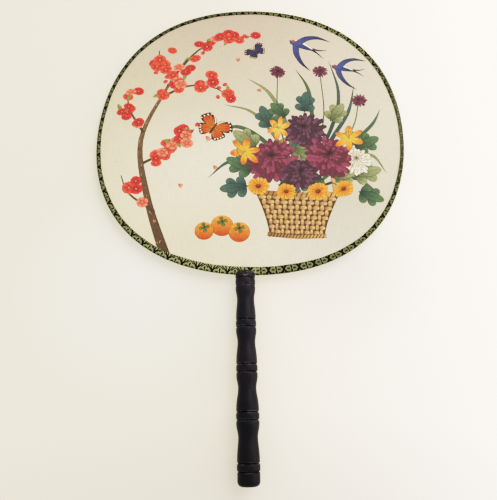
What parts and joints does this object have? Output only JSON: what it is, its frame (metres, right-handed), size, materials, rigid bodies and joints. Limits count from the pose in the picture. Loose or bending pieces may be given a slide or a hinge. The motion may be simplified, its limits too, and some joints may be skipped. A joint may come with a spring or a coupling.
{
  "type": "round silk hand fan",
  "caption": "Round silk fan: a wire hoop covered with silk and bound in patterned tape, held in the slotted crown of a turned, ringed black handle.",
  "frame": {"origin": "middle of the flat butt face of the handle", "axes": "+Y up the handle towards the face, +Z out of the face side, +X to the right seen from the face side"},
  "size_m": [0.2611, 0.4068, 0.0166],
  "materials": {
    "lacquered_wood": "satin black lacquer on turned hardwood",
    "steel_wire": "drawn wire, hidden by the tape",
    "silk": "plain woven cream silk with a printed design",
    "brocade": "green and black figured tape with a little sheen",
    "pin_steel": "blackened by the lacquer"
  },
  "bodies": {
    "root": {"handle": "lacquered_wood", "hoop_wire": "steel_wire", "silk_leaf": "silk", "binding_tape": "brocade", "crown_pin": "pin_steel"}
  },
  "joints": []
}
